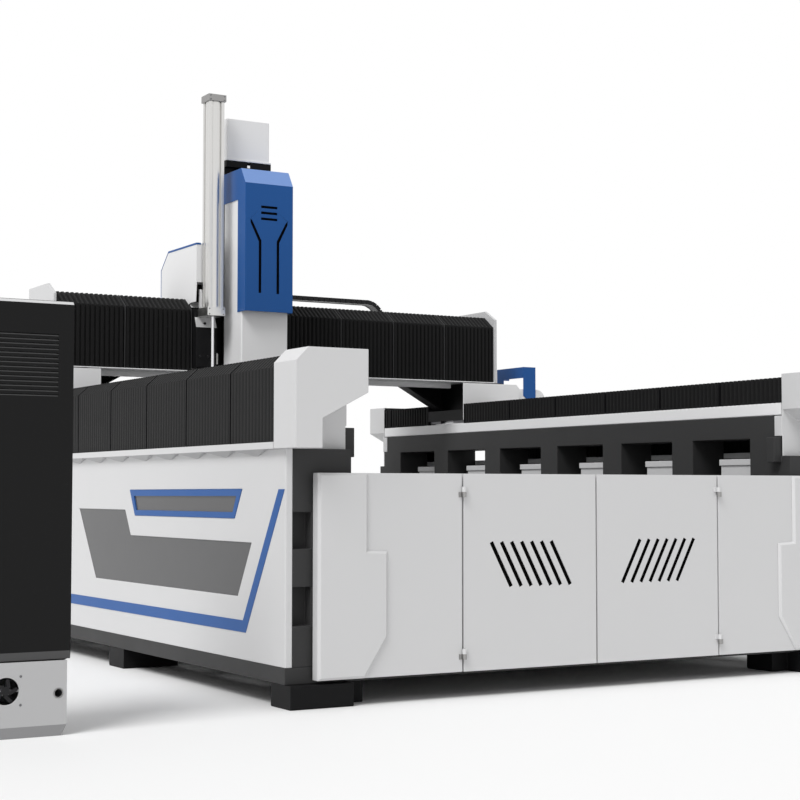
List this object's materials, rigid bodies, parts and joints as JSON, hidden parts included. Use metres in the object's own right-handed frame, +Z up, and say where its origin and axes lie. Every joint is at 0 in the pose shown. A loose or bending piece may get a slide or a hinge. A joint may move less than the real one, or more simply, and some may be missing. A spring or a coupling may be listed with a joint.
{
  "type": "five-axis gantry router",
  "caption": "Gantry router with enclosed side walls, a slotted table, a cross saddle, a vertical ram with a swivel and tilt head, and a standing control cabinet.",
  "frame": {"origin": "on the floor under the middle levelling pad, at the middle of the machine's plan", "axes": "+X across the machine to the right as seen from the door side, +Y from the doors to the rear, +Z up"},
  "size_m": [5.552, 5.033, 3.656],
  "materials": {
    "white_paint": "satin",
    "grey_paint": "satin",
    "dark_paint": "textured",
    "black_paint": "textured",
    "blue_paint": "satin",
    "smoked_pane": "gloss",
    "machined_steel": "ground",
    "cast_table": "machined",
    "bellows_cloth": "matt",
    "extruded_aluminium": "anodised",
    "black_plastic": "matt",
    "ground_steel": "polished"
  },
  "bodies": {
    "machine": {"base_frame": "dark_paint", "levelling_feet": "dark_paint", "side_frames": "dark_paint", "wall_boxes": "grey_paint", "side_skins": "white_paint", "window_panes": "smoked_pane", "trim_stripes": "blue_paint", "side_ledges": "white_paint", "end_caps": "white_paint", "rail_beams": "white_paint", "y_rails": "machined_steel", "work_table": "cast_table", "front_panels": "white_paint", "corner_plates": "white_paint", "rear_panel": "white_paint", "door_hinges": "dark_paint", "bellows_front_left": "bellows_cloth", "bellows_front_right": "bellows_cloth", "bellows_rear_left": "bellows_cloth", "bellows_rear_right": "bellows_cloth", "cabinet_body": "black_paint", "cabinet_base": "grey_paint", "cabinet_hinges": "dark_paint"},
    "door_left_body": {"door_left": "white_paint"},
    "door_right_body": {"door_right": "white_paint"},
    "gantry": {"gantry_beam": "grey_paint", "x_rails": "machined_steel", "beam_caps": "grey_paint", "gantry_legs": "black_paint", "leg_covers": "grey_paint", "y_carriages": "machined_steel", "y_drives": "grey_paint", "chain_arch": "blue_paint", "beam_bellows_left": "bellows_cloth", "beam_bellows_right": "bellows_cloth", "chain_trough": "grey_paint"},
    "pinions": {"y_pinions": "machined_steel"},
    "saddle_body": {"saddle": "black_paint", "saddle_carriages": "machined_steel", "z_column": "black_paint", "carriage_hood": "white_paint", "cylinder_barrel": "extruded_aluminium", "cylinder_heads": "extruded_aluminium", "motor_plate": "black_paint", "motor_cover": "white_paint", "chain_run": "black_plastic"},
    "x_pinion_body": {"x_pinion": "machined_steel"},
    "screw_body": {"z_screw": "ground_steel"},
    "chain_body": {"chain_bend": "black_plastic"},
    "ram_body": {"ram": "white_paint", "z_rails": "machined_steel", "ram_cover": "blue_paint", "balance_rod": "ground_steel", "head_flange": "machined_steel"},
    "fork_body": {"swivel_fork": "white_paint"},
    "spindle": {"spindle_body": "extruded_aluminium"},
    "tool": {"tool_holder": "ground_steel"},
    "cabinet_door_body": {"cabinet_door": "black_paint"},
    "fan": {"fan_rotor": "black_plastic"}
  },
  "joints": [
    {"name": "gantry_slide", "type": "slide", "parent": "machine", "child": "gantry", "axis": [0, 1, 0], "range_m": [-2.05, 0.4], "deforming": ["bellows_front_left", "bellows_front_right", "bellows_rear_left", "bellows_rear_right"]},
    {"name": "y_pinion_spin", "type": "hinge", "parent": "gantry", "child": "pinions", "pos_m": [0, 1.3265, 1.6173], "axis": [1, 0, 0], "continuous": true},
    {"name": "saddle_slide", "type": "slide", "parent": "gantry", "child": "saddle_body", "axis": [1, 0, 0], "range_m": [-0.58, 1.08], "deforming": ["beam_bellows_left", "beam_bellows_right"]},
    {"name": "x_pinion_spin", "type": "hinge", "parent": "saddle_body", "child": "x_pinion_body", "pos_m": [-0.665, 1.4862, 2.25], "axis": [0, 0, 1], "continuous": true},
    {"name": "ram_slide", "type": "slide", "parent": "saddle_body", "child": "ram_body", "axis": [0, 0, 1], "range_m": [-0.5, 0.25]},
    {"name": "screw_spin", "type": "hinge", "parent": "saddle_body", "child": "screw_body", "pos_m": [-0.351, 1.0785, 2.5], "axis": [0, 0, 1], "continuous": true},
    {"name": "chain_follow", "type": "slide", "parent": "saddle_body", "child": "chain_body", "axis": [1, 0, 0], "range_m": [-0.54, 0.29], "deforming": ["chain_run"]},
    {"name": "head_swivel", "type": "hinge", "parent": "ram_body", "child": "fork_body", "pos_m": [-0.351, 0.927, 1.7], "axis": [0, 0, 1], "range_deg": [-210, 210]},
    {"name": "head_tilt", "type": "hinge", "parent": "fork_body", "child": "spindle", "pos_m": [-0.351, 0.927, 1.29], "axis": [1, 0, 0], "range_deg": [-110, 110]},
    {"name": "spindle_spin", "type": "hinge", "parent": "spindle", "child": "tool", "pos_m": [-0.351, 0.927, 1.05], "axis": [0, 0, 1], "continuous": true},
    {"name": "door_left_hinge", "type": "hinge", "parent": "machine", "child": "door_left_body", "pos_m": [-0.809, -2.3755, 0.6], "axis": [0, 0, 1], "range_deg": [-110, 0]},
    {"name": "door_right_hinge", "type": "hinge", "parent": "machine", "child": "door_right_body", "pos_m": [0.809, -2.3755, 0.6], "axis": [0, 0, 1], "range_deg": [0, 110]},
    {"name": "cabinet_door_hinge", "type": "hinge", "parent": "machine", "child": "cabinet_door_body", "pos_m": [-3.404, -2.5545, 1], "axis": [0, 0, 1], "range_deg": [-110, 0]},
    {"name": "fan_spin", "type": "hinge", "parent": "machine", "child": "fan", "pos_m": [-3.126, -2.5535, 0.192], "axis": [0, 1, 0], "continuous": true}
  ],
  "couplings": [
    {"joint": "y_pinion_spin", "follows": "gantry_slide", "rad_per_m": -12.821},
    {"joint": "x_pinion_spin", "follows": "saddle_slide", "rad_per_m": 25},
    {"joint": "screw_spin", "follows": "ram_slide", "rad_per_m": 251.33},
    {"joint": "chain_follow", "follows": "saddle_slide", "ratio": -0.5}
  ]
}
